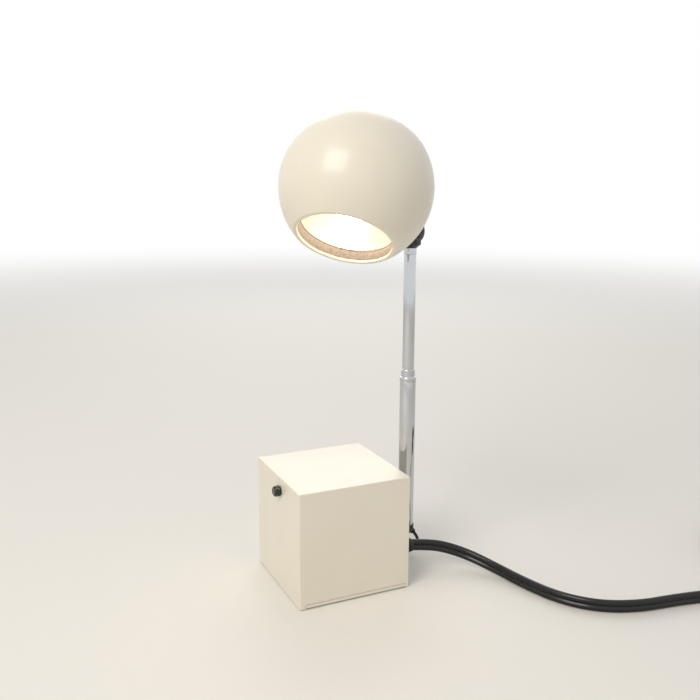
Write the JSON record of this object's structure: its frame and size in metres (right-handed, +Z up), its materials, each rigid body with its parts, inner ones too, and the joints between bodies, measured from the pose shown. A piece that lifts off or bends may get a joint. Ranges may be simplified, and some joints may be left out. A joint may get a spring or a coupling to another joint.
{
  "type": "tabletop searchlight lamp",
  "caption": "Desk lamp with a cube base, a pivoted telescopic arm and a swivelling ball shade with a round opening.",
  "frame": {"origin": "middle of the square underside of the felt pad, on the surface that the lamp stands on", "axes": "+Z up; -Y towards the switch on the front of the cube; +Y towards the arm and the mains cord; +X to the right as seen from the switch side"},
  "size_m": [0.207, 0.4235, 0.3031],
  "materials": {
    "ivory_enamel": "satin",
    "felt": "matte",
    "black_paint": "satin",
    "chrome": "polished",
    "zinc_plate": "satin",
    "lamination": "matte",
    "bobbin": "matte",
    "copper": "satin",
    "black_plastic": "gloss",
    "dark_plastic": "matte",
    "fibre": "matte",
    "nylon": "matte",
    "brass": "satin",
    "black_rubber": "satin",
    "baffle_grey": "matte",
    "reflector": "satin",
    "glass": "clear"
  },
  "bodies": {
    "base": {"base_shell": "ivory_enamel", "base_plate": "ivory_enamel", "base_screws": "zinc_plate", "felt_pad": "felt", "transformer_core": "lamination", "transformer_bobbin": "bobbin", "primary_winding": "copper", "secondary_winding": "copper", "transformer_strap": "zinc_plate", "strap_screws": "zinc_plate", "switch_body": "dark_plastic", "lead_grommet": "black_rubber", "strain_relief": "black_rubber", "cord_stretch": "black_rubber", "cord_coil": "black_rubber", "cord_tail": "black_rubber", "plug_body": "black_rubber", "plug_blades": "brass"},
    "switch_knob": {"switch_knob": "black_plastic"},
    "lower_arm": {"pivot_washers": "fibre", "pivot_spring_washer": "zinc_plate", "pivot_nut": "zinc_plate", "pivot_stud": "zinc_plate", "arm_saddle": "chrome", "lower_tube": "chrome", "lower_collar": "chrome", "foot_boot": "black_rubber", "tube_lead": "black_rubber", "arm_lead": "black_rubber"},
    "middle_section": {"middle_tube": "chrome", "middle_bush": "nylon", "middle_gland": "nylon"},
    "inner_section": {"inner_tube": "chrome", "inner_bush": "nylon"},
    "fork": {"knuckle_fork": "black_paint", "friction_washers": "fibre", "hinge_screw": "black_paint", "hinge_nut": "black_paint"},
    "stub": {"stub_arm": "chrome", "saddle_washer": "black_paint", "stub_washer": "zinc_plate", "stub_nut": "zinc_plate"},
    "shade": {"ball_shell": "ivory_enamel", "inner_cup": "zinc_plate", "socket_bracket": "zinc_plate", "baffle_ring": "baffle_grey", "reflector": "reflector", "lamp_socket": "brass", "socket_insulator": "dark_plastic", "socket_contacts": "brass", "bulb_cap": "brass", "bulb_glass": "glass", "head_lead": "black_rubber"}
  },
  "joints": [
    {"name": "switch_turn", "type": "hinge", "parent": "base", "child": "switch_knob", "pos_m": [0.005, -0.0381, 0.0675], "axis": [0, -1, 0], "range_deg": [-90, 0]},
    {"name": "arm_swing", "type": "hinge", "parent": "base", "child": "lower_arm", "pos_m": [0, 0.0381, 0.05], "axis": [0, 1, 0], "range_deg": [-45, 45], "deforming": ["arm_lead"]},
    {"name": "middle_slide", "type": "slide", "parent": "lower_arm", "child": "middle_section", "axis": [0, 0, 1], "range_m": [-0.076, 0], "deforming": ["tube_lead"]},
    {"name": "inner_slide", "type": "slide", "parent": "middle_section", "child": "inner_section", "axis": [0, 0, 1], "range_m": [0, 0.078]},
    {"name": "head_turn", "type": "hinge", "parent": "inner_section", "child": "fork", "pos_m": [0, 0.056, 0.214], "axis": [0, 0, 1], "range_deg": [-175, 120]},
    {"name": "head_tilt", "type": "hinge", "parent": "fork", "child": "stub", "pos_m": [0, 0.056, 0.2287], "axis": [0.9026, 0.4305, 0], "range_deg": [-48, 46]},
    {"name": "head_spin", "type": "hinge", "parent": "stub", "child": "shade", "pos_m": [0, 0.056, 0.2287], "axis": [0.3843, -0.8056, 0.4509], "range_deg": [-120, 120]}
  ]
}
